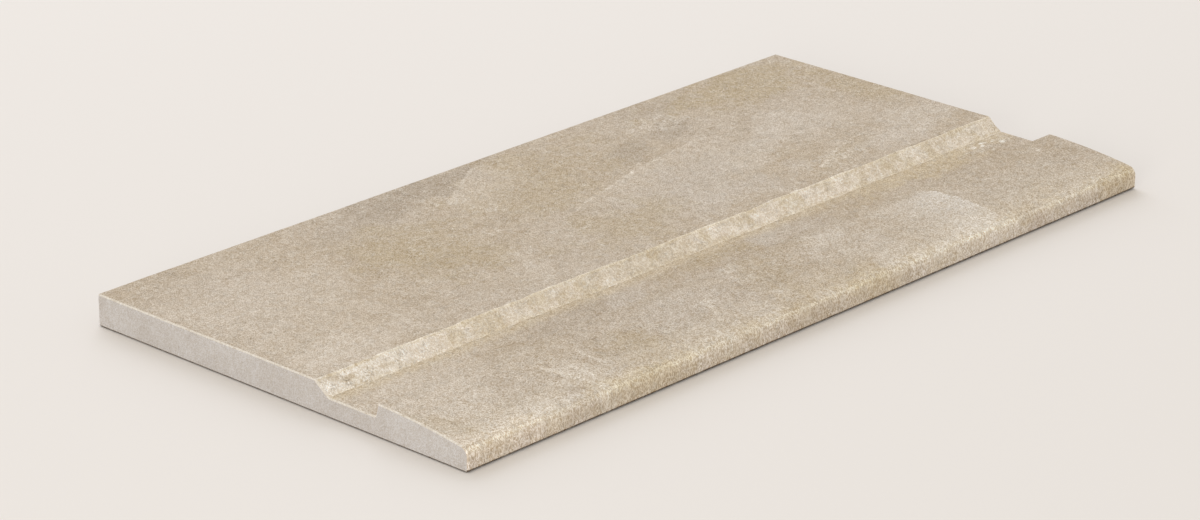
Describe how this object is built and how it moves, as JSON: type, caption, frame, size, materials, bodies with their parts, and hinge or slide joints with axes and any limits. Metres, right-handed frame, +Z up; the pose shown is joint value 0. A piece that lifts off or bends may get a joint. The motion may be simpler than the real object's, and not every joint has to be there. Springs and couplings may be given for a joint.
{
  "type": "pool coping tile",
  "caption": "Flat porcelain pool coping tile with a bevel down to a finger channel and a crowned lip that ends in a rounded nose over the water.",
  "frame": {"origin": "middle of the bed face, which lies on the pool's edge beam", "axes": "+X along the tile's length, -Y towards the pool and the rounded nose, +Y towards the terrace, +Z up out of the deck"},
  "size_m": [0.6, 0.3, 0.02],
  "materials": {
    "porcelain": "matt, lightly textured stone-look porcelain in warm grey-beige, with a paler grey body on the sawn ends"
  },
  "bodies": {
    "root": {"coping_tile": "porcelain"}
  },
  "joints": []
}
